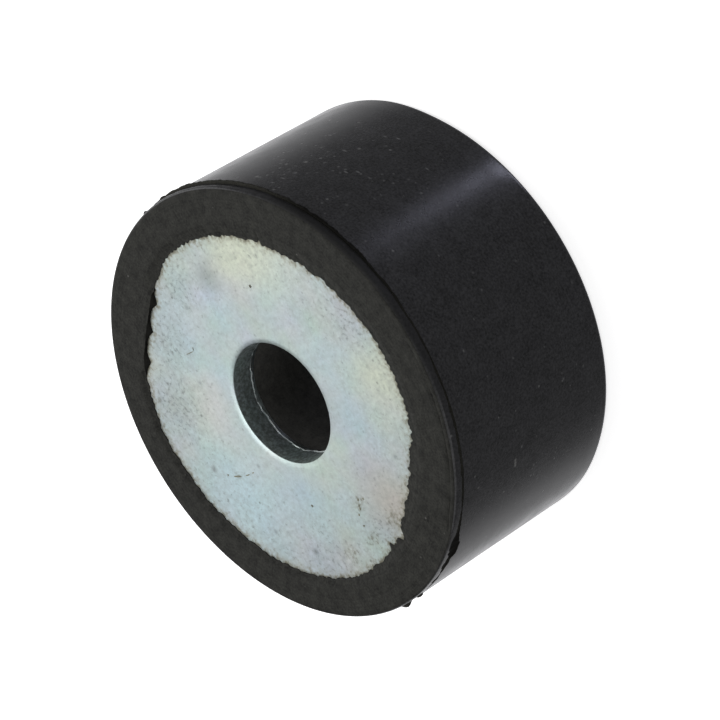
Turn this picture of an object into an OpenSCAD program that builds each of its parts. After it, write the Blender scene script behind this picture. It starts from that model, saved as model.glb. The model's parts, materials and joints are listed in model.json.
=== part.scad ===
// Round anti-vibration mount for one through bolt: a rubber cylinder
// moulded round two punched steel end plates.
// Z is the axis. The rear end stands at z = 0 and the front plate faces up.

/* [Rubber body] */
// Outer diameter at the mould's parting line
body_d = 40; // [34:0.5:60]
// Height over both end faces
body_h = 20; // [14:0.5:40]
// Draft of the side wall behind the parting line, in degrees
draft_angle = 0.9; // [0:0.1:2]
// Radius of the outer edge of the front face
front_edge_r = 0.4; // [0.2:0.1:0.8]
// Radius of the outer edge of the rear face
rear_edge_r = 0.6; // [0.2:0.1:1.5]
// Radial room between the bolt hole's wall and the rubber bore
bore_relief = 0.2; // [0.1:0.05:0.6]

/* [Parting line] */
// Depth of the parting line below the front face
parting_depth = 1; // [0.9:0.1:2]
// Thickness of the flash left along the parting line
flash_t = 0.15; // [0.1:0.05:0.3]
// Reach of the flash beyond the side wall, where it is thin
flash_reach = 0.08; // [0.05:0.01:0.2]
// Further reach of the flash at its torn lumps
lump_reach = 0.36; // [0.1:0.02:0.6]
// Angle that a torn lump covers, in degrees
lump_width = 16; // [8:1:30]

/* [End plates] */
// Thickness of each plate
plate_t = 2.5; // [1.5:0.1:4]
// Rubber wall outside the rim of each plate
rim_wall = 2.5; // [1.5:0.1:4]
// Radius of the plate's tumbled outer edges
plate_edge_r = 0.3; // [0.1:0.05:0.6]
// Diameter of the punched bolt hole
hole_d = 11; // [8:0.1:16]
// Radius that the punch rolls over at the hole's outer rim
roll_r = 0.3; // [0.1:0.05:0.6]
// Height of the torn zone at the hole's inner rim
tear_h = 0.4; // [0.2:0.05:0.8]
// Radial flare of the torn zone
tear_flare = 0.1; // [0.05:0.05:0.3]

/* [Rubber film] */
// Thickness of the film that laps over each plate's rim
film_t = 0.3; // [0.2:0.05:0.6]
// Mean width of the film on the plate
film_lap = 1.6; // [0.8:0.1:3]

/* [Hidden] */
$fn = 96;
// Depth by which a cutter stands clear of the face that it cuts
cut = 1;
// Steps in a quarter turn of a small edge radius
arc_steps = 6;
// Angle between the points of an uneven outline, in degrees
outline_step = 4;
// Waves in the front film's edge: share of film_lap, lobes per turn, angle of the first crest
film_waves = [[0.25, 1, 99], [0.22, 2, 123], [0.24, 4, 82], [0.1, 6, 70]];
// Angles at which the flash is torn into lumps
lump_angles = [4, 183];

body_r = body_d / 2;
parting_z = body_h - parting_depth;
rear_r = body_r - parting_z * tan(draft_angle);
hole_r = hole_d / 2;
bore_r = hole_r + bore_relief;
plate_r = body_r - rim_wall;
bare_r = plate_r - film_lap;

// Points of a circular arc in the plane of a profile
function arc(centre, r, from, to) =
    [for (i = [0:arc_steps]) let(a = from + (to - from) * i / arc_steps) centre + r * [cos(a), sin(a)]];

// Points of a closed outline whose radius at each angle is given in a list
function turn(radii) =
    [for (i = [0:len(radii) - 1]) let(a = i * outline_step) radii[i] * [cos(a), sin(a)]];

// Radius of the front film's edge, where the bare steel begins
function film_edge(a) =
    bare_r + film_lap * sum([for (w = film_waves) w[0] * cos(w[1] * (a - w[2]))]);

function sum(list, i = 0) = i < len(list) ? list[i] + sum(list, i + 1) : 0;

// Share of a lump's full reach at an angle: 1 at its middle, 0 at its ends
function lump(a, middle) =
    let(off = abs((a - middle + 540) % 360 - 180) * 180 / lump_width)
    off < 90 ? pow(cos(off), 2) : 0;

// Radius of the flash at the parting line
function flash_edge(a) =
    body_r + flash_reach + lump_reach * max([for (m = lump_angles) lump(a, m)]);

// Outer edge of a plate, from its inner face to its outer face at depth 0
function plate_rim() = concat(
    arc([plate_r - plate_edge_r, plate_t - plate_edge_r], plate_edge_r, 90, 0),
    arc([plate_r - plate_edge_r, plate_edge_r], plate_edge_r, 0, -90));

// Section of the punched hole, from its rolled outer rim to its torn inner rim
function hole_wall() = concat(
    arc([hole_r + roll_r, roll_r], roll_r, 270, 180),
    [[hole_r, plate_t - tear_h], [hole_r + tear_flare, plate_t]]);

// Half section of the rubber before the plates' seats are taken out
function body_section() = concat(
    [[bore_r, 0]],
    arc([rear_r - rear_edge_r, rear_edge_r], rear_edge_r, -90, 0),
    [[body_r, parting_z]],
    arc([body_r - front_edge_r, body_h - front_edge_r], front_edge_r, 0, 90),
    [[bore_r, body_h]]);

// Places a shape drawn from a plate's outer face inwards at one end of the mount
module at_rear() {
    translate([0, 0, film_t]) children();
}

module at_front() {
    translate([0, 0, body_h - film_t]) mirror([0, 0, 1]) children();
}

// Punched plate, drawn with its outer face at depth 0
module end_plate() {
    rotate_extrude() polygon(concat(hole_wall(), plate_rim()));
}

// Space that a plate takes up in the rubber
module plate_seat() {
    rotate_extrude() polygon(concat([[0, 0], [0, plate_t]], plate_rim()));
}

// Window through the film to the plate's outer face, cut to the outline given
module film_window() {
    translate([0, 0, -film_t - cut]) linear_extrude(film_t + cut + plate_t / 2) children();
}

// Thin uneven fin that the mould leaves at the parting line
module flash() {
    translate([0, 0, parting_z - flash_t / 2])
        linear_extrude(flash_t)
            difference() {
                polygon(turn([for (a = [0:outline_step:359]) flash_edge(a)]));
                circle(plate_r + rim_wall / 2);
            }
}

module rubber_body() {
    color("#232326")
        difference() {
            union() {
                rotate_extrude() polygon(body_section());
                flash();
            }
            at_rear() plate_seat();
            at_front() plate_seat();
            at_rear() film_window() circle(bare_r);
            at_front() film_window() polygon(turn([for (a = [0:outline_step:359]) film_edge(a)]));
        }
}

module front_plate() {
    color("#c8cdc8") at_front() end_plate();
}

module rear_plate() {
    color("#c8cdc8") at_rear() end_plate();
}

rubber_body();
front_plate();
rear_plate();
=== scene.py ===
"""Looks of a round anti-vibration mount: black rubber moulded round two zinc-plated steel plates."""
import json
import math

import bmesh
import bpy
from mathutils import Euler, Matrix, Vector, noise


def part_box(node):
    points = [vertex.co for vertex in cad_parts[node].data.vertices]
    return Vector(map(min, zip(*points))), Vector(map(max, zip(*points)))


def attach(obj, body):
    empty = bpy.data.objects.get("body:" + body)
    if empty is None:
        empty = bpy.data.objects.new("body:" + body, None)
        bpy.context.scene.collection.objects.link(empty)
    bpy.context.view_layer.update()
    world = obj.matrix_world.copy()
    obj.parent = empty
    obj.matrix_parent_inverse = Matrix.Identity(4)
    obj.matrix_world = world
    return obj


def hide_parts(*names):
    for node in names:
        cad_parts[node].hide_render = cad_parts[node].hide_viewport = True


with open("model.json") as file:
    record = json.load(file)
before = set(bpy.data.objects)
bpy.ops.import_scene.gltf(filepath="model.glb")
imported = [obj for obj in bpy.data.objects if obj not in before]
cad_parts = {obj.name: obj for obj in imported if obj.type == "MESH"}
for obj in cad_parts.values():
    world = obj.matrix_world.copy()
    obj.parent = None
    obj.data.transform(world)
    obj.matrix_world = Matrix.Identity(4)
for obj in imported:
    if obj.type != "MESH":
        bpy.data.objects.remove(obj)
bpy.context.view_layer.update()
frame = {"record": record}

MM = 0.001
TURN = 2 * math.pi

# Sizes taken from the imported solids
rubber_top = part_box("rubber_body")[1]
plate_low, plate_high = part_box("front_plate")
mounts = {mount["name"]: mount for mount in frame["record"]["mounts"]}
HEIGHT = rubber_top.z
PLATE_R = plate_high.x
PLATE_T = plate_high.z - plate_low.z
FACE_Z = plate_high.z
FILM_T = HEIGHT - FACE_Z
HOLE_R = mounts["bolt_hole"]["dims"]["r_mm"] * MM

# Sizes of the moulding, as in the solids
BODY_R = PLATE_R + 2.5 * MM
REAR_R = BODY_R - 0.3 * MM
BORE_R = HOLE_R + 0.2 * MM
PARTING_Z = HEIGHT - 1.0 * MM
SIDE_FROM_Z = PARTING_Z - 0.8 * MM
SIDE_TO_Z = 0.6 * MM
PLATE_EDGE_R = 0.3 * MM
BARE_R = PLATE_R - 1.6 * MM
FILM_ROOT_R = PLATE_R + 0.4 * MM
RING_TO_R = PLATE_R + 1.5 * MM

# Columns round the axis: a coarse spin, then cuts that are fine enough for torn edges
SPIN_STEPS = 120
RUBBER_CUTS = 8
PLATE_CUTS = 5
SHARP_ANGLE = math.radians(50)

# Ragged edges below are rows of teeth: height in mm or as a share of what they roughen, pitch in mm, seed

# Radius of the film's edge on the front plate, by angle in degrees, in mm
FILM_EDGE = ((0, 15.8), (12, 15.95), (21, 15.6), (37, 15.42), (46, 15.65), (56, 16.15), (64, 16.55),
             (80, 16.8), (100, 16.5), (120, 16.4), (140, 16.5), (165, 16.35), (182, 15.85), (196, 15.4),
             (213, 14.7), (230, 14.65), (243, 15.35), (270, 15.55), (290, 15.35), (314, 15.15), (340, 15.5),
             (360, 15.8))
FILM_TEETH = ((0.12, 1.4, 1), (0.18, 0.42, 2))
# Share of the teeth's height that is everywhere, and where the rest of it is added, in degrees
TEETH_LEAST = 0.6
TEETH_MOST_AT, TEETH_MOST_HALF = 225, 80
# Stretch where the film ends in a blunt torn wall with cusps that point over the steel, in degrees
BLUNT_FROM, BLUNT_TO, BLUNT_EASE = 25, 61, 4
BLUNT_CALM = 0.75
CUSP_AT, CUSP_PITCH = 30.9, 12.15
CUSP_DEPTH = 0.6 * MM
# Torn tongues and nicks of the film's edge: angle, half width in degrees, depth in mm
FILM_TEARS = ((198.0, 2.2, 0.62), (194.6, 0.9, -0.2), (191.4, 1.5, -0.35), (203, 2.6, -0.2),
              (237, 2.2, 0.2), (8, 1.2, 0.2), (324, 0.8, 0.2))
# Thickness of the film's lip in mm, feathered and blunt, and the shape of the torn wall under it
LIP_T, BLUNT_LIP_T = 0.05, 0.27
WALL_LEAN, WALL_HEIGHT = 0.4, 0.55
WALL_TEETH = ((0.02, 0.5, 3),)
# Share of the film's width over which it grows to full thickness, feathered and blunt
RISE_SHARE, BLUNT_RISE_SHARE = 0.5, 0.1
FILM_ROWS = (0.0, 0.05, 0.12, 0.22, 0.35, 0.5, 0.7, 1.0)

# Flash at the mould's joint by angle: reach of its fin in mm, or depth of the torn crack below zero
FLASH_REACH = ((0, 0.2), (3, 0.13), (7, 0.03), (14, 0.03), (170, 0.03), (175, 0.05), (188, -0.04),
               (193, -0.1), (202, -0.1), (204.5, -0.14), (213, -0.15), (240, -0.14), (252, -0.12),
               (262, -0.05), (270, 0.03), (282, 0.12), (300, 0.2), (318, 0.25), (335, 0.25), (350, 0.24),
               (360, 0.2))
FLASH_TEETH = ((0.22, 0.9, 5), (0.15, 0.35, 6))
# Single lumps of flash: angle, half width in degrees, reach in mm
FLASH_LUMPS = ((0.2, 1.5, 0.14), (9, 1.4, 0.22), (178.8, 2.8, 0.30), (185.2, 1.9, 0.26))
# Thickness of the fin in mm, and how much its foot and a lump widen with their reach
FIN_T = 0.18
FIN_FOOT = 0.9
FOOT_TEETH = ((0.6, 0.7, 12), (0.5, 0.3, 13))
LUMP_T = 0.8
# Width of the torn crack by angle, in mm
CRACK_WIDTH = ((0, 0.12), (170, 0.1), (188, 0.1), (192.5, 0.35), (193.9, 0.8), (195.2, 0.35), (199, 0.35),
               (200.4, 0.7), (202.3, 0.5), (203.6, 0.9), (205, 1.5), (207, 1.35), (209, 0.95), (211, 0.75),
               (213.8, 0.4), (218, 0.3), (226, 0.28), (240, 0.26), (265, 0.18), (290, 0.16), (360, 0.12))
CRACK_TEETH = ((0.4, 1.1, 8), (0.3, 0.4, 10))
# Share of the crack's width that lies in front of the parting line, by angle, and the most on each side in mm
CRACK_ABOVE = ((0, 0.7), (202, 0.7), (204.5, 0.25), (207, 0.45), (209.5, 0.66), (360, 0.7))
CRACK_ABOVE_MOST = 0.62
CRACK_BELOW_MOST = 0.65
# How the strip wanders along the parting line, and its shoulder outside the torn rows, in mm
STRIP_TEETH = ((0.05, 2.5, 9),)
STRIP_SHOULDER = 0.05
# Rows of the strip from its middle outwards: share of its half width, share of its reach
STRIP_SHAPE = ((0.0, 1.0), (0.55, 0.85), (0.9, 0.35), (1.0, 0.0), (1.0, 0.0))
STRIP_MIDDLE = len(STRIP_SHAPE) - 1
STRIP_LAST = 2 * STRIP_MIDDLE

# Radius of the front edge by angle, in mm
FRONT_EDGE = ((0, 0.4), (182, 0.4), (190, 0.15), (212, 0.15), (219, 0.4), (285, 0.4), (302, 0.5),
              (335, 0.4), (360, 0.4))
FRONT_STEPS = 7
# Witness crease of the mould where the front face meets the outer edge, by angle: depth in mm
CREASE = ((0, 0.0), (208, 0.0), (218, 0.07), (245, 0.08), (262, 0.05), (280, 0.0), (360, 0.0))
CREASE_TEETH = ((0.3, 1.5, 11),)
CREASE_W = 0.18 * MM
# Places of the crease's rows inside the front edge, in crease widths; the middle row is its bottom
CREASE_ROWS = (1.5, 1.0, 0.5)
CREASE_BOTTOM = 1
# How dull the front edge and the flash are by angle, and how dark they are painted as shade of the fin and
# the tear: 0 as moulded, 1 torn or matt and darkest
DULL_AND_SHADED_EDGE = ((0, 0.0), (206.5, 0.0), (209, 0.5), (212, 0.5), (214, 0.05), (240, 0.15), (270, 0.6),
             (298, 1.0), (308, 1.0), (328, 0.1), (340, 0.0), (360, 0.0))
# A crack wider than this, in mm, is duller, and darker with painted shade, by this much for each mm
SHADED_CRACK_FROM, SHADED_CRACK_GAIN = 0.2, 1.6

# Radius of the rear edge by angle, in mm: trimmed sharper at two places
REAR_EDGE = ((0, 0.25), (16, 0.6), (172, 0.6), (190, 0.3), (214, 0.6), (312, 0.6), (335, 0.2), (360, 0.25))
REAR_STEPS = 6

# Punched hole of a plate: the dished rim, its rolled lip, the flared mouth, then heights over the back
DISH_W = 0.5 * MM
DISH_TILT = math.radians(16)
LIP_ROLL_R = 0.06 * MM
MOUTH_FLARE = 0.1 * MM
MOUTH_DEPTH = 0.7 * MM
TEAR_H = 0.5 * MM
LEDGE_TOP_H, BURR_H, LEDGE_FOOT_H = 0.42 * MM, 0.37 * MM, 0.31 * MM
# Burr in the hole: reach in mm with its teeth and limits, wander along the hole, and brightness of its
# painted highlight
BURR_REACH, BURR_LEAST, BURR_MOST = 0.07, 0.02, 0.16
BURR_TEETH = ((0.05, 1.8, 21), (0.05, 0.4, 22))
BURR_WANDER = ((0.1, 1.7, 23), (0.06, 0.5, 24))
BURR_SHINE, BURR_SHINE_LEAST = 0.6, 0.2
SHINE_TEETH = ((0.6, 1.3, 25), (0.3, 0.4, 26))


def linear(colour):
    """Linear RGBA of an sRGB hex colour."""
    parts = [int(colour[i:i + 2], 16) / 255 for i in (1, 3, 5)]
    return [c / 12.92 if c <= 0.04045 else ((c + 0.055) / 1.055) ** 2.4 for c in parts] + [1]


def clamp(value, low, high):
    return min(max(value, low), high)


def smooth(t):
    """Eases from 0 to 1."""
    t = clamp(t, 0.0, 1.0)
    return t * t * (3 - 2 * t)


def along(points, angle):
    """Value at an angle of a curve given by a few points, eased between them."""
    for (a, low), (b, high) in zip(points, points[1:]):
        if angle <= b:
            return low + (high - low) * smooth((angle - a) / (b - a))
    return points[-1][1]


def swell(angle, middle, half_width):
    """1 at the middle of a local feature, easing to 0 at its ends."""
    off = abs((angle - middle + 180) % 360 - 180) / half_width
    return math.cos(off * math.pi / 2) ** 2 if off < 1 else 0.0


def ragged(angle, teeth, radius=BODY_R):
    """Repeatable roughness round the axis: the sum of rows of teeth, each about plus or minus its height."""
    noise_gain, seed_step = 1.6, 7.3
    a = math.radians(angle)
    ray = Vector((math.cos(a), math.sin(a), 0))
    total = 0.0
    for height, pitch, seed in teeth:
        spot = ray * (radius / (pitch * MM)) + Vector((0, 0, seed_step * seed))
        total += height * noise_gain * noise.noise(spot)
    return total


def blunt_edge(angle):
    """1 along the blunt stretch of the film's edge, easing to 0 beside it."""
    return smooth((angle - BLUNT_FROM) / BLUNT_EASE) * smooth((BLUNT_TO - angle) / BLUNT_EASE)


def film_lip(angle):
    """Radius of the front film's torn edge, without the cusps of its blunt stretch."""
    r = along(FILM_EDGE, angle) + sum(depth * swell(angle, at, half) for at, half, depth in FILM_TEARS)
    wild = TEETH_LEAST + (1 - TEETH_LEAST) * swell(angle, TEETH_MOST_AT, TEETH_MOST_HALF)
    r += ragged(angle, FILM_TEETH) * wild * (1 - BLUNT_CALM * blunt_edge(angle))
    return r * MM


def film_edge(angle):
    """Radius at which the front film ends on the steel."""
    cusp = 1 - abs(math.sin(math.pi * (angle - CUSP_AT) / CUSP_PITCH))
    return film_lip(angle) - CUSP_DEPTH * cusp * blunt_edge(angle)


def rear_film_edge(angle):
    """Radius at which the rear film ends on the steel: plain and round."""
    return BARE_R


def arc(centre_r, centre_z, radius, start, end, steps, kind):
    """Points of an arc in a half section, angles in degrees from the radial direction."""
    turns = [math.radians(start + (end - start) * i / steps) for i in range(steps + 1)]
    return [(centre_r + radius * math.cos(t), centre_z + radius * math.sin(t), kind, i)
            for i, t in enumerate(turns)]


def line(r0, z0, r1, z1, steps, kind):
    """Points of a straight stretch of a half section, both ends included."""
    return [(r0 + (r1 - r0) * i / steps, z0 + (z1 - z0) * i / steps, kind, i) for i in range(steps + 1)]


def spun(section, cuts):
    """Closed mesh of revolution, with each vertex's place in the section kept in a layer."""
    bm = bmesh.new()
    row = bm.verts.layers.float.new("row")
    ring = [bm.verts.new((r, 0, z)) for r, z, kind, step in section]
    for i, vert in enumerate(ring):
        vert[row] = i
    edges = [bm.edges.new((a, b)) for a, b in zip(ring, ring[1:] + ring[:1])]
    bmesh.ops.spin(bm, geom=ring + edges, cent=(0, 0, 0), axis=(0, 0, 1), angle=TURN, steps=SPIN_STEPS,
                   use_merge=True)
    across = [edge for edge in bm.edges if abs(edge.verts[0][row] - edge.verts[1][row]) < 0.5]
    bmesh.ops.subdivide_edges(bm, edges=across, cuts=cuts)
    return bm, row


def angle_of(vert):
    return math.degrees(math.atan2(vert.co.y, vert.co.x)) % 360


def place(vert, r, angle, z):
    a = math.radians(angle)
    vert.co = (r * math.cos(a), r * math.sin(a), z)


def piece_from(bm, name, materials, replaced=()):
    """Scene object from a bmesh, riding on the part and standing for the solids named."""
    bm.normal_update()
    bmesh.ops.recalc_face_normals(bm, faces=bm.faces)
    for polygon in bm.faces:
        polygon.smooth = True
    mesh = bpy.data.meshes.new(name)
    bm.to_mesh(mesh)
    bm.free()
    mesh.set_sharp_from_angle(angle=SHARP_ANGLE)
    piece = bpy.data.objects.new(name, mesh)
    bpy.context.scene.collection.objects.link(piece)
    for material in materials:
        mesh.materials.append(material)
    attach(piece, "root")
    if replaced:
        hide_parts(*replaced)


def add(tree, kind, inputs, out=None, **settings):
    """Adds a shader node: settings are its properties, inputs are values or sockets to link from. Gives back
    the output named, or the whole node."""
    node = tree.nodes.new("ShaderNode" + kind)
    for key, value in settings.items():
        setattr(node, key, value)
    for key, value in inputs.items():
        if isinstance(value, bpy.types.NodeSocket):
            tree.links.new(value, node.inputs[key])
        else:
            node.inputs[key].default_value = value
    return node.outputs[out] if out else node


def new_material(name):
    """Material with a Principled shader, and the shader and object coordinates to build on."""
    material = bpy.data.materials.new(name)
    material.use_nodes = True
    tree = material.node_tree
    return material, tree, tree.nodes["Principled BSDF"], add(tree, "TexCoord", {}, "Object")


def specks(tree, at, size, core, clear):
    """Mask of round specks, solid in the middle third, at most one in each cell of that size, where a share
    of the cells stays clear. Core is the radius of a speck in cells."""
    solid = 0.35 * core
    cells = add(tree, "TexVoronoi", {"Vector": at, "Scale": 1 / size})
    dot = add(tree, "MapRange", {"Value": cells.outputs["Distance"], "From Min": core, "From Max": solid},
              "Result")
    lot = add(tree, "SeparateColor", {"Color": cells.outputs["Color"]}).outputs
    chosen = add(tree, "Math", {0: lot["Red"], 1: clear}, "Value", operation="GREATER_THAN")
    faint = add(tree, "Math", {0: chosen, 1: lot["Green"]}, "Value", operation="MULTIPLY")
    return add(tree, "Math", {0: dot, 1: faint}, "Value", operation="MULTIPLY")


def patches(tree, at, spots):
    """Sum of soft round patches: x, y, z and reach in mm, and strength in the middle."""
    total = 0.0
    for x, y, z, reach, strength in spots:
        gap = add(tree, "VectorMath", {0: at, 1: (x * MM, y * MM, z * MM)}, "Value", operation="DISTANCE")
        part = add(tree, "MapRange", {"Value": gap, "From Min": reach * MM, "From Max": 0.0,
                                      "To Max": strength}, "Result", interpolation_type="SMOOTHSTEP")
        total = add(tree, "Math", {0: part, 1: total}, "Value", operation="ADD")
    return total


# Where dust and scratches gather on the side: x, y, z and reach in mm, strength
DUST = ((15.0, -12.8, 14.0, 6.5, 1.0), (12.0, -16.0, 9.0, 6.0, 0.5), (18.0, -7.0, 11.0, 6.0, 0.3),
        (-15.0, -13.0, 10.0, 9.0, 0.2))
# Single marks on the side, in the same form: a pale dash and pale specks, then a pit painted near black as
# painted shade
PALE_MARKS = ((-14.6, -13.5, 12.3, 0.25, 0.8), (-14.4, -13.7, 12.3, 0.25, 0.9),
              (-14.2, -13.9, 12.3, 0.25, 0.8), (-16.1, -11.7, 5.2, 0.2, 0.8), (17.0, -10.2, 4.8, 0.2, 0.8),
              (16.6, -10.8, 10.2, 0.2, 0.8), (17.2, -10.0, 17.1, 0.3, 0.9), (17.0, -10.3, 17.1, 0.25, 0.8),
              (16.2, -11.5, 13.0, 0.3, 0.9), (14.9, -13.1, 8.6, 0.25, 0.7), (11.2, -16.4, 15.6, 0.25, 0.5),
              (7.8, -18.3, 17.4, 0.2, 0.6))
PIT_SHADE_MARKS = ((-16.1, -11.6, 11.9, 0.4, 1.0),)


def moulded_rubber():
    """Carbon-black rubber from a polished mould: near black and satin, with a soft sheen at grazing
    angles, drifts of pale dust and short handling scratches."""
    material, tree, shader, at = new_material("moulded_black_rubber")
    cloud_size, grain_size, drift_size = 1.6 * MM, 0.22 * MM, 2.6 * MM
    cloud = add(tree, "TexNoise", {"Vector": at, "Scale": 1 / cloud_size, "Detail": 6.0}, "Fac")
    grain = add(tree, "TexNoise", {"Vector": at, "Scale": 1 / grain_size, "Detail": 3.0}, "Fac")
    tone = add(tree, "Math", {0: cloud, 1: 0.3, 2: grain}, "Value", operation="MULTIPLY_ADD")
    shade = add(tree, "MapRange", {"Value": tone, "From Min": 0.4, "From Max": 0.9}, "Result")
    colour = add(tree, "Mix", {"Factor": shade, "A": linear("#18181a"), "B": linear("#464648")}, "Result",
                 data_type="RGBA")
    # Dust lies in drifts: round specks about 0.2 mm across, and scratches about 0.2 mm by 0.4 mm
    drift = add(tree, "TexNoise", {"Vector": at, "Scale": 1 / drift_size, "Detail": 2.0}, "Fac")
    cluster = add(tree, "MapRange", {"Value": drift, "From Min": 0.42, "From Max": 0.64}, "Result")
    thick = add(tree, "Math", {0: patches(tree, at, DUST), 1: cluster}, "Value", operation="MULTIPLY")
    dash = add(tree, "Mapping", {"Vector": at, "Rotation": (0, 0, math.radians(48)), "Scale": (2.4, 1, 1)},
               "Vector", vector_type="TEXTURE")
    for spots, size, core, clear in ((at, 0.5 * MM, 0.34, 0.98), (dash, 0.45 * MM, 0.3, 0.985)):
        bar = add(tree, "Math", {0: clear, 1: thick}, "Value", operation="SUBTRACT")
        dust = specks(tree, spots, size, core, bar)
        colour = add(tree, "Mix", {"Factor": dust, "A": colour, "B": linear("#7a7a7a")}, "Result",
                     data_type="RGBA")
    for marks, paint in ((PALE_MARKS, "#8a8a88"), (PIT_SHADE_MARKS, "#080808")):
        mark = patches(tree, at, marks)
        colour = add(tree, "Mix", {"Factor": mark, "A": colour, "B": linear(paint)}, "Result",
                     data_type="RGBA")
    # Rougher where the edge is dull or torn, and darker there with painted shade of the fin, the tear and the
    # crack
    dull = add(tree, "Attribute", {}, "Fac", attribute_name="dull")
    painted_shade = add(tree, "Math", {0: dull, 1: -0.85, 2: 1.0}, "Value", operation="MULTIPLY_ADD")
    colour = add(tree, "VectorMath", {0: colour, "Scale": painted_shade}, "Vector", operation="SCALE")
    worn = add(tree, "MapRange", {"Value": cloud, "From Min": 0.3, "From Max": 0.7, "To Min": 0.2,
                                  "To Max": 0.27}, "Result")
    rough = add(tree, "Math", {0: dull, 1: 0.4, 2: worn}, "Value", operation="MULTIPLY_ADD")
    bump = add(tree, "Bump", {"Height": grain, "Strength": 0.15, "Distance": 0.02 * MM}, "Normal")
    tree.links.new(colour, shader.inputs["Base Color"])
    tree.links.new(rough, shader.inputs["Roughness"])
    tree.links.new(bump, shader.inputs["Normal"])
    shader.inputs["IOR"].default_value = 1.5
    return material


def matt_rubber(name, dark, pale):
    """The same rubber where the turned mould and its release dust leave it matt: a warm grey-black, mottled,
    with faint tool rings and a few pale specks."""
    material, tree, shader, at = new_material(name)
    ring_size, mottle_size, grit_size, speck_size = 0.3 * MM, 0.9 * MM, 0.2 * MM, 0.9 * MM
    spread = add(tree, "SeparateXYZ", {"Vector": at}).outputs
    flat = add(tree, "CombineXYZ", {"X": spread["X"], "Y": spread["Y"]}, "Vector")
    radius = add(tree, "VectorMath", {0: flat}, "Value", operation="LENGTH")
    rings = add(tree, "TexNoise", {"W": radius, "Scale": 1 / ring_size, "Detail": 2.0}, "Fac",
                noise_dimensions="1D")
    mottle = add(tree, "TexNoise", {"Vector": at, "Scale": 1 / mottle_size, "Detail": 7.0, "Roughness": 0.68},
                 "Fac")
    grit = add(tree, "TexNoise", {"Vector": at, "Scale": 1 / grit_size, "Detail": 3.0}, "Fac")
    cast = add(tree, "Math", {0: rings, 1: 0.25, 2: mottle}, "Value", operation="MULTIPLY_ADD")
    relief = add(tree, "Math", {0: grit, 1: 0.7, 2: cast}, "Value", operation="MULTIPLY_ADD")
    shade = add(tree, "MapRange", {"Value": relief, "From Min": 0.72, "From Max": 1.22}, "Result")
    colour = add(tree, "Mix", {"Factor": shade, "A": linear(dark), "B": linear(pale)}, "Result",
                 data_type="RGBA")
    dust = specks(tree, at, speck_size, 0.14, 0.86)
    colour = add(tree, "Mix", {"Factor": dust, "A": colour, "B": linear("#6a6966")}, "Result",
                 data_type="RGBA")
    bump = add(tree, "Bump", {"Height": relief, "Strength": 0.3, "Distance": 0.05 * MM}, "Normal")
    tree.links.new(colour, shader.inputs["Base Color"])
    tree.links.new(bump, shader.inputs["Normal"])
    shader.inputs["Roughness"].default_value = 0.65
    shader.inputs["Specular IOR Level"].default_value = 0.14
    return material


def torn_rubber():
    """Rubber torn at the mould's joint and flash: rough all over, so it stays dark where the moulded skin
    shines, and painted near black as shade in the wide crack, by the fin and under the film's torn wall."""
    material, tree, shader, at = new_material("torn_black_rubber")
    grit_size = 0.15 * MM
    grit = add(tree, "TexNoise", {"Vector": at, "Scale": 1 / grit_size, "Detail": 4.0}, "Fac")
    tone = add(tree, "Mix", {"Factor": grit, "A": linear("#21211f"), "B": linear("#4b4a44")}, "Result",
               data_type="RGBA")
    # Painted shade: the dull attribute darkens the torn rubber in the crack, by the fin and under the film's
    # wall
    dull = add(tree, "Attribute", {}, "Fac", attribute_name="dull")
    painted_shade = add(tree, "Math", {0: dull, 1: -0.75, 2: 1.0}, "Value", operation="MULTIPLY_ADD")
    colour = add(tree, "VectorMath", {0: tone, "Scale": painted_shade}, "Vector", operation="SCALE")
    bump = add(tree, "Bump", {"Height": grit, "Strength": 0.8, "Distance": 0.08 * MM}, "Normal")
    tree.links.new(colour, shader.inputs["Base Color"])
    tree.links.new(bump, shader.inputs["Normal"])
    shader.inputs["Roughness"].default_value = 0.95
    shader.inputs["Specular IOR Level"].default_value = 0.12
    return material


def dried_residue():
    """Thin rubber and release agent dried on the steel: near black where thick, olive brown where thin."""
    material, tree, shader, at = new_material("dried_rubber_residue")
    patch_size = 0.2 * MM
    thin = add(tree, "Attribute", {}, "Fac", attribute_name="thin")
    tone = add(tree, "Mix", {"Factor": thin, "A": linear("#39413e"), "B": linear("#a3a38c")}, "Result",
               data_type="RGBA")
    patchy = add(tree, "TexNoise", {"Vector": at, "Scale": 1 / patch_size, "Detail": 3.0}, "Fac")
    colour = add(tree, "Mix", {"Factor": patchy, "A": tone, "B": linear("#8f8e7c")}, "Result",
                 data_type="RGBA")
    tree.links.new(colour, shader.inputs["Base Color"])
    shader.inputs["Roughness"].default_value = 0.7
    return material


# Stains of the passivation on the front plate: x, y and reach in mm, colour, strength
FRONT_STAINS = ((12.4, -0.5, 2.3, "#909a98", 0.75), (-8.4, -5.2, 3.0, "#a9b3c4", 0.4),
                (13.0, -4.5, 5.0, "#cbcab6", 0.5), (-12.0, -6.0, 6.0, "#b5ada6", 0.8),
                (12.0, -8.0, 7.0, "#c9cfb9", 0.75), (-3.0, -14.0, 6.0, "#c6ccb4", 0.6),
                (-6.0, 11.0, 8.0, "#b7cdd4", 0.75), (11.0, 8.0, 6.0, "#b0bec4", 0.6),
                (2.0, 9.0, 5.0, "#c9c9c4", 0.5), (-9.0, 4.0, 5.0, "#b4c8d2", 0.5),
                (11.15, 4.25, 0.4, "#7d8384", 0.6), (5.12, 8.25, 0.4, "#7d8384", 0.5),
                (-9.2, 10.05, 0.4, "#7d8384", 0.6), (-8.74, -9.66, 0.4, "#7d8384", 0.5),
                (-1.82, 12.98, 0.5, "#7d8384", 0.7), (-12.39, 6.63, 0.5, "#6c7272", 0.7),
                (-3.54, 7.33, 0.35, "#7d8384", 0.5), (-14.01, 3.67, 0.4, "#7d8384", 0.5),
                (5.71, 14.49, 0.5, "#7d8384", 0.6))
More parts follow.
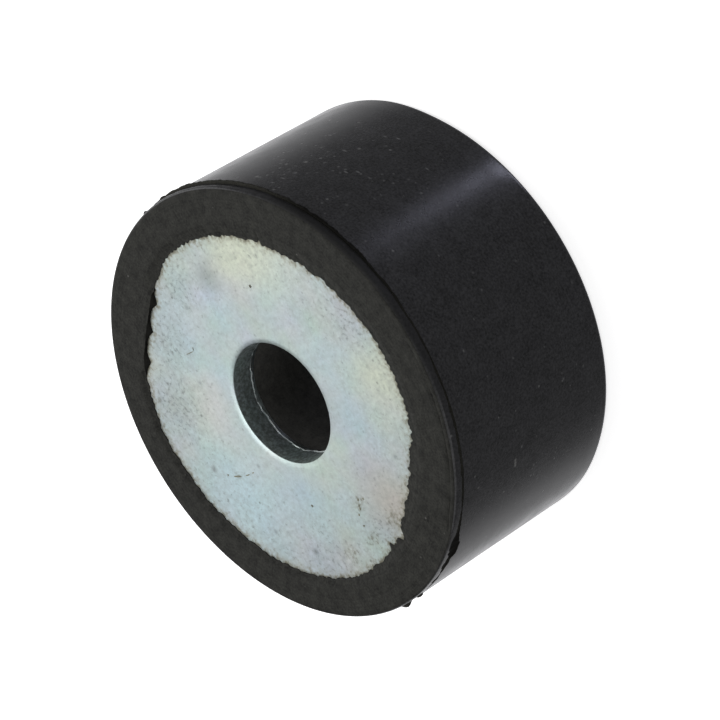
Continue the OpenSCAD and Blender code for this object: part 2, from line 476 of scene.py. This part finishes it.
# Smudges of rubber residue on the front plate: x, y and reach in mm, strength
FRONT_SMUDGES = ((-10.3, -2.3, 0.8, 0.55), (-11.0, -1.8, 0.9, 0.6), (-10.6, -2.9, 0.7, 0.4),
                 (-3.4, 10.5, 0.7, 0.6), (-13.2, -5.2, 1.8, 0.7), (-13.9, -1.2, 1.6, 0.6),
                 (-14.1, 2.4, 1.6, 0.6))
# Patches of the front plate where pits and grime are thick, in the same form
FRONT_GRIME = ((4.5, 12.5, 5.0, 0.30), (9.5, 9.0, 4.5, 0.25), (13.0, 4.0, 3.5, 0.22),
               (-12.5, 5.5, 4.5, 0.12), (-14.0, -3.0, 3.5, 0.2), (3.0, -13.5, 4.0, 0.2))


def on_front_face(marks):
    """The marks with the height of the front plate's face put in, as patches take them."""
    return [(x, y, FACE_Z / MM, reach, strength) for x, y, reach, strength in marks]


def zinc_plate(name, stains, grime, smudges):
    """Punched steel, zinc-plated and clear passivated: a pale satin metal with faint straw, pink and blue
    stains, rolling streaks, and fine pits that thicken from the clean punched rim towards the rubber."""
    material, tree, shader, at = new_material(name)
    pearl_size, grain_size, streak_size = 5 * MM, 0.28 * MM, 0.5 * MM
    soil_size, pit_size, spot_size = 0.6 * MM, 0.42 * MM, 0.9 * MM
    spread = add(tree, "SeparateXYZ", {"Vector": at}).outputs
    flat = add(tree, "CombineXYZ", {"X": spread["X"], "Y": spread["Y"]}, "Vector")
    radius = add(tree, "VectorMath", {0: flat}, "Value", operation="LENGTH")
    # Pearly tint of the passivation, then its stains
    pearl = add(tree, "TexNoise", {"Vector": at, "Scale": 1 / pearl_size, "Detail": 6.0}, "Color")
    tint = add(tree, "VectorMath", {0: pearl, 1: (0.4, 0.26, 0.4), 2: (0.8, 0.87, 0.8)}, "Vector",
               operation="MULTIPLY_ADD")
    colour = add(tree, "VectorMath", {0: linear("#b3bfbf")[:3], 1: tint}, "Vector", operation="MULTIPLY")
    for x, y, reach, stain, strength in stains:
        gap = add(tree, "VectorMath", {0: flat, 1: (x * MM, y * MM, 0)}, "Value", operation="DISTANCE")
        part = add(tree, "MapRange", {"Value": gap, "From Min": reach * MM, "From Max": 0.0,
                                      "To Max": strength}, "Result", interpolation_type="SMOOTHSTEP")
        colour = add(tree, "Mix", {"Factor": part, "A": colour, "B": linear(stain)}, "Result",
                     data_type="RGBA")
    # Crystal grain of the plating and streaks of the rolled sheet
    grain = add(tree, "TexNoise", {"Vector": at, "Scale": 1 / grain_size, "Detail": 5.0,
                                   "Roughness": 0.6}, "Fac")
    rolled = add(tree, "Mapping", {"Vector": at, "Rotation": (0, 0, math.radians(45)), "Scale": (1, 0.06, 1)},
                 "Vector")
    streaks = add(tree, "TexNoise", {"Vector": rolled, "Scale": 1 / streak_size, "Detail": 2.0}, "Fac")
    skin = add(tree, "Math", {0: streaks, 1: 0.25, 2: grain}, "Value", operation="MULTIPLY_ADD")
    light = add(tree, "MapRange", {"Value": skin, "From Min": 0.42, "From Max": 0.82, "To Min": 0.89,
                                   "To Max": 1.08}, "Result")
    colour = add(tree, "VectorMath", {0: colour, "Scale": light}, "Vector", operation="SCALE")
    # Grime in soft clouds, then soft pits and single spots, all thicker in the patches and towards the rubber
    outer = add(tree, "MapRange", {"Value": radius, "From Min": 7 * MM, "From Max": 16 * MM, "To Max": 0.2},
                "Result")
    thick = add(tree, "Math", {0: outer, 1: patches(tree, at, grime)}, "Value", operation="ADD")
    soil = add(tree, "TexNoise", {"Vector": at, "Scale": 1 / soil_size, "Detail": 6.0,
                                  "Roughness": 0.7}, "Fac")
    soiled = add(tree, "Math", {0: thick, 1: 0.5, 2: soil}, "Value", operation="MULTIPLY_ADD")
    cloudy = add(tree, "MapRange", {"Value": soiled, "From Min": 0.5, "From Max": 0.85,
                                    "To Max": 0.5}, "Result")
    colour = add(tree, "Mix", {"Factor": cloudy, "A": colour, "B": linear("#8b8f8c")}, "Result",
                 data_type="RGBA")
    fine = add(tree, "TexNoise", {"Vector": at, "Scale": 1 / pit_size, "Detail": 3.0,
                                  "Roughness": 0.6}, "Fac")
    pitted = add(tree, "Math", {0: thick, 1: 0.34, 2: fine}, "Value", operation="MULTIPLY_ADD")
    pits = add(tree, "MapRange", {"Value": pitted, "From Min": 0.62, "From Max": 0.86,
                                  "To Max": 0.7}, "Result")
    colour = add(tree, "Mix", {"Factor": pits, "A": colour, "B": linear("#676a66")}, "Result",
                 data_type="RGBA")
    clear = add(tree, "Math", {0: thick, 1: -0.35, 2: 0.985}, "Value", operation="MULTIPLY_ADD")
    spots = specks(tree, at, spot_size, 0.22, clear)
    colour = add(tree, "Mix", {"Factor": spots, "A": colour, "B": linear("#6c706c")}, "Result",
                 data_type="RGBA")
    # Olive residue of the rubber on the steel just inside the film's edge and in the smudges, thin and patchy
    film_gap = add(tree, "Attribute", {}, "Fac", attribute_name="film_gap")
    smudge = patches(tree, at, smudges)
    for reach, strength, stain in ((1.3 * MM, 0.7, "#979380"), (0.6 * MM, 0.75, "#5a574a")):
        fringe = add(tree, "MapRange", {"Value": film_gap, "From Min": reach, "From Max": 0.0}, "Result")
        near = add(tree, "Math", {0: fringe, 1: smudge}, "Value", operation="MAXIMUM")
        wet = add(tree, "Math", {0: near, 1: 0.22, 2: fine}, "Value", operation="MULTIPLY_ADD")
        most = add(tree, "Math", {0: near, 1: strength}, "Value", operation="MULTIPLY")
        residue = add(tree, "MapRange", {"Value": wet, "From Min": 0.5, "From Max": 0.78, "To Max": most},
                      "Result")
        colour = add(tree, "Mix", {"Factor": residue, "A": colour, "B": linear(stain)}, "Result",
                     data_type="RGBA")
    # The punched wall of the hole is duller and blotched
    wall = add(tree, "Attribute", {}, "Fac", attribute_name="hole_wall")
    blotch = add(tree, "MapRange", {"Value": grain, "From Min": 0.38, "From Max": 0.66, "To Min": 0.8,
                                    "To Max": 0.25}, "Result")
    dull = add(tree, "Math", {0: wall, 1: blotch}, "Value", operation="MULTIPLY")
    colour = add(tree, "Mix", {"Factor": dull, "A": colour, "B": linear("#666b68")}, "Result",
                 data_type="RGBA")
    # The torn burr behind the wall is painted near white and less metallic: frosty torn steel, with a painted
    # highlight for its bright ragged line
    burr = add(tree, "Attribute", {}, "Fac", attribute_name="burr")
    colour = add(tree, "Mix", {"Factor": burr, "A": colour, "B": linear("#e9eded")}, "Result",
                 data_type="RGBA")
    metal = add(tree, "Math", {0: 1.0, 1: burr}, "Value", operation="SUBTRACT")
    satin = add(tree, "MapRange", {"Value": grain, "From Min": 0.3, "From Max": 0.7, "To Min": 0.36,
                                   "To Max": 0.48}, "Result")
    rough = add(tree, "Math", {0: wall, 1: 0.4, 2: satin}, "Value", operation="MULTIPLY_ADD")
    bump = add(tree, "Bump", {"Height": grain, "Strength": 0.12, "Distance": 0.03 * MM}, "Normal")
    tree.links.new(colour, shader.inputs["Base Color"])
    tree.links.new(metal, shader.inputs["Metallic"])
    tree.links.new(rough, shader.inputs["Roughness"])
    tree.links.new(bump, shader.inputs["Normal"])
    return material


def rubber_section():
    """Half section of the rubber, from the tip of the front film over the side and rear to the bore."""
    back_z = FACE_Z - PLATE_T
    rear_back_z = FILM_T + PLATE_T
    e = PLATE_EDGE_R
    section = [(BARE_R, FACE_Z, "tip", 0), (BARE_R, FACE_Z, "wall", 0)]
    section += [(BARE_R + share * (FILM_ROOT_R - BARE_R), HEIGHT, "film", i)
                for i, share in enumerate(FILM_ROWS)]
    section += line(FILM_ROOT_R, HEIGHT, RING_TO_R, HEIGHT, 4, "face")[1:]
    section += [(BODY_R, HEIGHT, "crease", i) for i in range(len(CREASE_ROWS))]
    section += [(BODY_R, HEIGHT, "edge", i) for i in range(FRONT_STEPS + 1)]
    section += [(BODY_R, PARTING_Z, "strip", i) for i in range(STRIP_LAST + 1)]
    section += line(BODY_R, SIDE_FROM_Z, REAR_R, SIDE_TO_Z, 12, "side")[:-1]
    section += [(REAR_R, SIDE_TO_Z, "rear", i) for i in range(REAR_STEPS + 1)]
    section += line(REAR_R - SIDE_TO_Z, 0, BARE_R, 0, 4, "face")[1:]
    section += [(BARE_R, FILM_T, "pocket", 0)]
    section += arc(PLATE_R - e, FILM_T + e, e, -90, 0, 2, "pocket")
    section += arc(PLATE_R - e, rear_back_z - e, e, 0, 90, 2, "pocket")
    section += line(BORE_R, rear_back_z, BORE_R, back_z, 5, "bore")
    section += arc(PLATE_R - e, back_z + e, e, -90, 0, 2, "pocket")
    section += arc(PLATE_R - e, FACE_Z - e, e, 0, 90, 2, "pocket")
    return section


def film_point(kind, r, angle):
    """Radius and height of a point of the front film."""
    edge, lip, blunt = film_edge(angle), film_lip(angle), blunt_edge(angle)
    lip_t = (LIP_T + (BLUNT_LIP_T - LIP_T) * blunt) * MM
    if kind == "tip":
        return edge, FACE_Z
    if kind == "wall":
        return edge + WALL_LEAN * (lip - edge) - ragged(angle, WALL_TEETH) * MM, FACE_Z + WALL_HEIGHT * lip_t
    share = (r - BARE_R) / (FILM_ROOT_R - BARE_R)
    rise = smooth(share / (RISE_SHARE + (BLUNT_RISE_SHARE - RISE_SHARE) * blunt))
    return lip + share * (FILM_ROOT_R - lip), FACE_Z + lip_t + (FILM_T - lip_t) * rise


def edge_point(kind, step, angle):
    """Radius and height of a point of the front edge or of the crease inside it."""
    e = along(FRONT_EDGE, angle) * MM
    if kind == "crease":
        depth = along(CREASE, angle) * (1 + ragged(angle, CREASE_TEETH)) * MM
        return BODY_R - e - CREASE_W * CREASE_ROWS[step], HEIGHT - (depth if step == CREASE_BOTTOM else 0)
    turn = math.pi / 2 * step / FRONT_STEPS
    return BODY_R - e * (1 - math.sin(turn)), HEIGHT - e * (1 - math.cos(turn))


def strip_point(step, angle):
    """Radius and height of a point of the torn strip at the parting line."""
    lump = sum(high * swell(angle, at, half) for at, half, high in FLASH_LUMPS)
    fin = along(FLASH_REACH, angle)
    reach = (fin + lump) * (1 + ragged(angle, FLASH_TEETH))
    above = below = FIN_T / 2 + LUMP_T * lump
    below += FIN_FOOT * max(fin, 0) * (1 + ragged(angle, FOOT_TEETH))
    if reach < 0:
        width = along(CRACK_WIDTH, angle) * (1 + ragged(angle, CRACK_TEETH))
        above = min(along(CRACK_ABOVE, angle) * width, CRACK_ABOVE_MOST)
        below = min(width - above, CRACK_BELOW_MOST)
    share, lift = STRIP_SHAPE[abs(step - STRIP_MIDDLE)]
    z = share * (above if step < STRIP_MIDDLE else -below) + ragged(angle, STRIP_TEETH)
    if step == 0:
        z += STRIP_SHOULDER
    if step == STRIP_LAST:
        z -= STRIP_SHOULDER
    return BODY_R + reach * lift * MM, PARTING_Z + z * MM


def rear_point(step, angle):
    """Radius and height of a point of the rear edge."""
    e = along(REAR_EDGE, angle) * MM
    turn = math.pi / 2 * step / REAR_STEPS
    return REAR_R - e * (1 - math.cos(turn)), e * (1 - math.sin(turn))


# Which of the rubber's materials each part of its section takes, and the edge row where the gloss begins
SIDE, MATT, TORN, BORE = range(4)
FILM_KINDS = {"tip", "wall", "film"}
MATT_KINDS = {"film", "face", "crease", "edge"}
GLOSSY_FROM = 3


def rubber_finish(spots):
    """Material index of a face of the rubber from the places of its corners in the section."""
    kinds = {kind for kind, step in spots}
    first = min(step for kind, step in spots)
    if kinds <= {"tip", "wall"} or kinds == {"wall", "film"}:
        return TORN
    if kinds == {"strip"} and 0 < first < STRIP_LAST - 1:
        return TORN
    if kinds == {"bore"}:
        return BORE
    return MATT if kinds <= MATT_KINDS and (kinds != {"edge"} or first < GLOSSY_FROM) else SIDE


def dullness_and_shade(kind, step, angle):
    """How dull the rubber is at a point of its section, and how dark it is painted as shade."""
    if kind in FILM_KINDS:
        return 1.0
    if kind == "edge" or kind == "strip" and step == 0:
        return along(DULL_AND_SHADED_EDGE, angle)
    if kind == "strip" and step < STRIP_LAST:
        crack = SHADED_CRACK_GAIN * (along(CRACK_WIDTH, angle) - SHADED_CRACK_FROM)
        return min(max(along(DULL_AND_SHADED_EDGE, angle), crack), 1.0)
    return 0.0


def build_rubber(materials):
    section = rubber_section()
    bm, row = spun(section, RUBBER_CUTS)
    # Dullness of each point, which also sets how dark it is painted as shade
    dull = bm.verts.layers.float.new("dull")
    for vert in bm.verts:
        r, z, kind, step = section[round(vert[row])]
        angle = angle_of(vert)
        vert[dull] = dullness_and_shade(kind, step, angle)
        if kind in FILM_KINDS:
            r, z = film_point(kind, r, angle)
        elif kind in ("crease", "edge"):
            r, z = edge_point(kind, step, angle)
        elif kind == "strip":
            r, z = strip_point(step, angle)
        elif kind == "rear":
            r, z = rear_point(step, angle)
        place(vert, r, angle, z)
    for polygon in bm.faces:
        spots = [section[round(vert[row])][2:] for vert in polygon.verts]
        polygon.material_index = rubber_finish(spots)
    bm.verts.layers.float.remove(row)
    piece_from(bm, "moulded_rubber", materials, ("rubber_body",))


def plate_section():
    """Half section of a plate, heights from its outer face: dished rim, punched wall, burr, back and rim."""
    e = PLATE_EDGE_R
    dish = DISH_W / 2 * math.tan(DISH_TILT)
    wall_z = -dish - LIP_ROLL_R * math.cos(DISH_TILT)
    mouth_r = HOLE_R + MOUTH_FLARE
    dish_to = mouth_r + LIP_ROLL_R * (1 - math.sin(DISH_TILT))
    dish_from = dish_to + DISH_W
    section = line(PLATE_R - e, 0, dish_from, 0, 10, "face")
    for r, z, kind, step in line(dish_from, 0, dish_to, 0, 9, "face")[1:]:
        section.append((r, -dish * ((dish_from - r) / DISH_W) ** 2, kind, step))
    roll_from = 90 + math.degrees(DISH_TILT)
    section += arc(mouth_r + LIP_ROLL_R, wall_z, LIP_ROLL_R, roll_from, 180, 5, "roll")[1:-1]
    section += line(mouth_r, wall_z, HOLE_R, -MOUTH_DEPTH, 3, "wall")[:-1]
    section += line(HOLE_R, -MOUTH_DEPTH, HOLE_R, TEAR_H - PLATE_T, 4, "wall")
    section += [(HOLE_R, LEDGE_TOP_H - PLATE_T, "ledge", 0), (HOLE_R, BURR_H - PLATE_T, "burr", 0),
                (HOLE_R, LEDGE_FOOT_H - PLATE_T, "ledge", 1), (HOLE_R, -PLATE_T, "back", 0)]
    section += arc(PLATE_R - e, e - PLATE_T, e, -90, 0, 3, "rim")
    section += arc(PLATE_R - e, -e, e, 0, 90, 3, "rim")[:-1]
    return section


def build_plate(name, node, face_z, outward, edge_radius, materials):
    section = plate_section()
    bm, row = spun(section, PLATE_CUTS)
    film_gap = bm.verts.layers.float.new("film_gap")
    hole_wall = bm.verts.layers.float.new("hole_wall")
    # Mask of the burr's painted highlight, stronger and fainter along the hole
    torn = bm.verts.layers.float.new("burr")
    for vert in bm.verts:
        r, z, kind, step = section[round(vert[row])]
        angle = angle_of(vert)
        vert[hole_wall] = 1.0 if kind == "wall" else 0.0
        if kind in ("ledge", "burr"):
            z += ragged(angle, BURR_WANDER, HOLE_R) * MM
        if kind == "burr":
            r -= clamp(BURR_REACH + ragged(angle, BURR_TEETH, HOLE_R), BURR_LEAST, BURR_MOST) * MM
            vert[torn] = clamp(BURR_SHINE + ragged(angle, SHINE_TEETH, HOLE_R), BURR_SHINE_LEAST, 1.0)
        vert[film_gap] = edge_radius(angle) - r
        place(vert, r, angle, face_z + outward * z)
    bm.verts.layers.float.remove(row)
    piece_from(bm, name, materials, (node,))


# Rubber crumbs and smears left on the steel: x, y, length, width in mm, heading in degrees, thinness 0 to 1
CRUMBS = ((9.77, -4.82, 0.34, 0.28, 0, 0.0), (-8.82, 3.72, 0.30, 0.24, 30, 0.1),
          (-10.32, -2.24, 0.3, 0.2, 135, 0.4), (-10.80, -1.92, 0.26, 0.18, 120, 0.2),
          (-11.06, -1.83, 0.34, 0.2, 140, 0.5), (-10.46, -2.90, 0.22, 0.2, 0, 0.6),
          (-11.46, -1.27, 0.26, 0.22, 100, 0.5), (-12.48, -1.07, 0.24, 0.2, 80, 0.2),
          (-2.88, 11.70, 0.2, 0.16, 60, 0.6), (-3.43, 10.58, 1.1, 0.16, 69, 0.45),
          (-3.76, 9.30, 0.6, 0.12, 80, 0.8), (-3.83, 8.46, 0.3, 0.12, 95, 0.9),
          (7.75, 7.25, 1.1, 0.08, 86, 0.5), (7.9, 6.6, 0.35, 0.08, 150, 0.6))
# Thickness of a crumb and how high its middle lies over the steel, in mm, then how lumpy it is
CRUMB_T = 0.05
CRUMB_LIFT = 0.01
CRUMB_LUMPS, CRUMB_LUMPS_PER_LENGTH = 0.35, 2.5


def build_crumbs(materials):
    bm = bmesh.new()
    thin = bm.verts.layers.float.new("thin")
    for x, y, length, width, heading, thinness in CRUMBS:
        made = bmesh.ops.create_icosphere(bm, subdivisions=2, radius=0.5)["verts"]
        turn = math.radians(heading)
        for vert in made:
            vert[thin] = thinness
            lump = 1 + CRUMB_LUMPS * noise.noise(vert.co * CRUMB_LUMPS_PER_LENGTH + Vector((x, y, 0)))
            u, v, w = vert.co.x * length * lump, vert.co.y * width * lump, vert.co.z * CRUMB_T * lump
            vert.co = (x + u * math.cos(turn) - v * math.sin(turn),
                       y + u * math.sin(turn) + v * math.cos(turn), FACE_Z / MM + CRUMB_LIFT + w)
            vert.co *= MM
    piece_from(bm, "rubber_crumbs", materials)


# The pieces
side = moulded_rubber()
matt = matt_rubber("matt_mould_face_rubber", "#191917", "#393935")
# The bore takes the same matt rubber painted much paler: painted light for the light that hardly reaches into
# the bore
bore = matt_rubber("bore_rubber_painted_lighter", "#4a4947", "#686763")
front_zinc = zinc_plate("front_passivated_zinc", FRONT_STAINS, on_front_face(FRONT_GRIME),
                        on_front_face(FRONT_SMUDGES))
rear_zinc = zinc_plate("rear_passivated_zinc", (), (), ())
build_rubber([side, matt, torn_rubber(), bore])
build_plate("front_zinc_plate", "front_plate", FACE_Z, 1, film_edge, [front_zinc])
build_plate("rear_zinc_plate", "rear_plate", FILM_T, -1, rear_film_edge, [rear_zinc])
build_crumbs([dried_residue()])

# Camera: the photograph's own view, rolled so that the mount's axis runs down to the left
CAMERA_ELEVATION, CAMERA_ROLL = 38.02, -121.29
CAMERA_DISTANCE = 532.0 * MM
CAMERA_LENS, CAMERA_SENSOR = 310.7, 36
aim = Vector((-0.32 * MM, 0, HEIGHT / 2))
elevation = math.radians(CAMERA_ELEVATION)
towards_camera = Vector((0, -math.cos(elevation), math.sin(elevation)))
camera_data = bpy.data.cameras.new("camera")
camera_data.lens, camera_data.sensor_width = CAMERA_LENS, CAMERA_SENSOR
camera_data.clip_start, camera_data.clip_end = 0.01, 50
camera = bpy.data.objects.new("camera", camera_data)
camera.location = aim + towards_camera * CAMERA_DISTANCE
camera.rotation_mode = "QUATERNION"
roll_turn = Euler((0, 0, math.radians(CAMERA_ROLL))).to_quaternion()
camera.rotation_quaternion = (-towards_camera).to_track_quat("-Z", "Y") @ roll_turn
bpy.context.scene.collection.objects.link(camera)
bpy.context.scene.camera = camera

# Floor: a pale, faintly luminous sweep that stays out of the part's reflections
FLOOR_R = 6
floor_bm = bmesh.new()
bmesh.ops.create_circle(floor_bm, cap_ends=True, segments=64, radius=FLOOR_R)
floor_mesh = bpy.data.meshes.new("floor")
floor_bm.to_mesh(floor_mesh)
floor_bm.free()
floor = bpy.data.objects.new("floor", floor_mesh)
bpy.context.scene.collection.objects.link(floor)
floor.visible_glossy = floor.visible_diffuse = floor.visible_shadow = False
pale = bpy.data.materials.new("pale_floor")
pale.use_nodes = True
pale_shader = pale.node_tree.nodes["Principled BSDF"]
pale_shader.inputs["Base Color"].default_value = linear("#f4f4f4")
pale_shader.inputs["Roughness"].default_value = 0.9
pale_shader.inputs["Specular IOR Level"].default_value = 0.0
pale_shader.inputs["Emission Color"].default_value = linear("#ffffff")
pale_shader.inputs["Emission Strength"].default_value = 0.75
floor_mesh.materials.append(pale)

# Softboxes: name, direction from the part, distance, width and height in metres, radiance, tint.
# A near panel in front of the plate, so that the steel darkens away from it; a panel above; a dim panel for
# the front edge; a narrow strip for the side; two low panels that the steel mirrors when seen from behind
SOFTBOXES = (("front_panel", (0.60, 0.80, 0.50), 0.20, 0.30, 0.26, 0.84, "#ffffff"),
             ("top_panel", (0.12, 0.28, 1), 0.9, 0.7, 0.6, 2.7, "#ffffff"),
             ("edge_panel", (-0.83, -0.04, 0.56), 0.6, 0.5, 0.5, 0.5, "#ffffff"),
             ("strip_panel", (0.43, -0.445, -0.79), 0.206, 0.017, 0.09, 5.2, "#e4e6ff"),
             ("low_right_panel", (0.70, -0.66, 0.32), 0.8, 0.5, 0.4, 1.0, "#ffffff"),
             ("low_left_panel", (-0.70, -0.66, 0.32), 0.8, 0.5, 0.4, 0.8, "#ffffff"))
for name, direction, distance, width, height, radiance, tint in SOFTBOXES:
    panel = bpy.data.lights.new(name, "AREA")
    panel.shape = "RECTANGLE"
    panel.color = linear(tint)[:3]
    panel.size, panel.size_y = width, height
    panel.energy = radiance * math.pi * width * height
    light = bpy.data.objects.new(name, panel)
    towards = Vector(direction).normalized()
    light.location = aim + towards * distance
    light.rotation_mode = "QUATERNION"
    light.rotation_quaternion = (-towards).to_track_quat("-Z", "Y")
    light.visible_camera = False
    bpy.context.scene.collection.objects.link(light)

# Studio round the part: dim, rising to a glow and a bright core behind and below it
BACKDROP_CORE = (0, 0.788, -0.616)
BACKDROP_GLOW = (-0.06, 0.788, -0.616)
world = bpy.data.worlds.new("studio")
world.use_nodes = True
studio = world.node_tree
heading = add(studio, "TexCoord", {}, "Generated")
to_core = add(studio, "VectorMath", {0: heading, 1: BACKDROP_CORE}, "Value", operation="DOT_PRODUCT")
to_glow = add(studio, "VectorMath", {0: heading, 1: BACKDROP_GLOW}, "Value", operation="DOT_PRODUCT")
glow = add(studio, "MapRange", {"Value": to_glow, "From Min": 0.56, "From Max": 0.86, "To Min": 0.18,
                                "To Max": 0.56}, "Result", interpolation_type="SMOOTHSTEP")
core = add(studio, "MapRange", {"Value": to_core, "From Min": 0.88, "From Max": 1.0, "To Max": 0.55},
           "Result", interpolation_type="SMOOTHSTEP")
level = add(studio, "Math", {0: glow, 1: core}, "Value", operation="ADD")
background = studio.nodes["Background"]
background.inputs["Color"].default_value = linear("#fafafc")
studio.links.new(level, background.inputs["Strength"])
bpy.context.scene.world = world
bpy.context.scene.view_settings.view_transform = "Standard"
